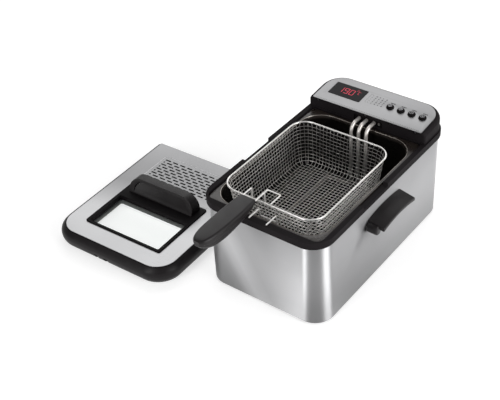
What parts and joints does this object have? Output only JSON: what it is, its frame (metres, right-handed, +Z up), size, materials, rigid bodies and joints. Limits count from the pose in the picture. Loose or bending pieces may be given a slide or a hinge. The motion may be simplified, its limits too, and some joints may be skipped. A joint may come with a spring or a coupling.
{
  "type": "deep fryer",
  "caption": "Counter-top deep fryer: steel body, lift-off control head with heating element, wire frying basket in its drain position, and a lid with a window lying beside it.",
  "frame": {"origin": "on the counter, below the middle of the box around the fryer, its basket handle and the lid beside it", "axes": "+X to the fryer's right as its user faces it, +Y to its rear, where the control head is, +Z up"},
  "size_m": [0.6184, 0.564, 0.2268],
  "materials": {
    "black_enamel": "dark non-stick enamel coating",
    "black_plastic": "satin moulded black, slightly warm",
    "black_rubber": "matt black rubber",
    "board_green": "green circuit board",
    "bright_wire": "bright drawn stainless wire and tube",
    "brushed_steel": "fine straight brushing, satin",
    "clear_glass": "clear tempered glass",
    "cream_nylon": "natural nylon",
    "dark_glass": "glossy black filter window",
    "filter_felt": "pale matted filter felt",
    "grey_silicone": "matt grey silicone",
    "red_plastic": "red moulded button",
    "sheet_metal": "plain mill-finish sheet and zinc-plated screws"
  },
  "bodies": {
    "fryer_body": {"base_plate": "black_plastic", "foot_front_left": "black_rubber", "foot_front_right": "black_rubber", "foot_rear_left": "black_rubber", "foot_rear_right": "black_rubber", "heat_shield": "sheet_metal", "left_carry_handle": "black_plastic", "left_handle_screw_front": "sheet_metal", "left_handle_screw_rear": "sheet_metal", "oil_pot": "black_enamel", "outer_housing": "brushed_steel", "right_carry_handle": "black_plastic", "right_handle_screw_front": "sheet_metal", "right_handle_screw_rear": "sheet_metal", "top_rim": "black_plastic"},
    "control_head": {"clamp_screw": "bright_wire", "control_board": "board_green", "control_panel": "brushed_steel", "cord_gland": "black_rubber", "display_module": "cream_nylon", "display_window": "dark_glass", "element_clamp": "black_plastic", "head_base": "black_plastic", "head_cover": "black_plastic", "heating_element": "bright_wire", "interlock_switch": "black_plastic", "minus_switch": "cream_nylon", "plus_switch": "cream_nylon", "power_relay": "cream_nylon", "power_switch": "cream_nylon", "program_switch": "cream_nylon", "terminal_block": "cream_nylon", "thermal_cutout": "cream_nylon", "thermostat_probe": "bright_wire"},
    "basket": {"basket_mesh": "bright_wire", "basket_rim_wire": "bright_wire", "drain_hook": "bright_wire", "handle_bracket": "bright_wire"},
    "basket_handle": {"grip_lower": "black_plastic", "grip_screw": "bright_wire", "grip_upper": "black_plastic", "handle_fork": "bright_wire"},
    "lid": {"filter_cover": "black_plastic", "filter_mat": "filter_felt", "lid_gasket": "grey_silicone", "lid_handle": "black_plastic", "lid_handle_screw_left": "sheet_metal", "lid_handle_screw_right": "sheet_metal", "lid_liner": "sheet_metal", "lid_plate": "brushed_steel", "lid_rim": "black_plastic", "window_bezel": "black_plastic", "window_gasket": "grey_silicone", "window_glass": "clear_glass"},
    "reset_button": {"reset_button": "red_plastic"},
    "power_button": {"power_button": "black_plastic"},
    "program_button": {"program_button": "black_plastic"},
    "minus_button": {"minus_button": "black_plastic"},
    "plus_button": {"plus_button": "black_plastic"}
  },
  "joints": [
    {"name": "lid_lift", "type": "slide", "parent": "fryer_body", "child": "lid", "axis": [0, 0, 1], "range_m": [0, 0.3]},
    {"name": "head_lift", "type": "slide", "parent": "fryer_body", "child": "control_head", "axis": [0, 0, 1], "range_m": [0, 0.06]},
    {"name": "basket_lift", "type": "slide", "parent": "fryer_body", "child": "basket", "axis": [0, 0, 1], "range_m": [0, 0.2]},
    {"name": "handle_pull", "type": "slide", "parent": "basket", "child": "basket_handle", "axis": [0, 0, 1], "range_m": [0, 0.06]},
    {"name": "power_button_press", "type": "slide", "parent": "control_head", "child": "power_button", "axis": [0, 0.0898, -0.996], "range_m": [0, 0.0012], "stiffness_N_per_m": 800, "springref_m": -0.0008},
    {"name": "program_button_press", "type": "slide", "parent": "control_head", "child": "program_button", "axis": [0, 0.0898, -0.996], "range_m": [0, 0.0012], "stiffness_N_per_m": 800, "springref_m": -0.0008},
    {"name": "minus_button_press", "type": "slide", "parent": "control_head", "child": "minus_button", "axis": [0, 0.0898, -0.996], "range_m": [0, 0.0012], "stiffness_N_per_m": 800, "springref_m": -0.0008},
    {"name": "plus_button_press", "type": "slide", "parent": "control_head", "child": "plus_button", "axis": [0, 0.0898, -0.996], "range_m": [0, 0.0012], "stiffness_N_per_m": 800, "springref_m": -0.0008},
    {"name": "reset_button_press", "type": "slide", "parent": "control_head", "child": "reset_button", "axis": [0, -1, 0], "range_m": [0, 0.0012], "stiffness_N_per_m": 800, "springref_m": -0.0008}
  ]
}
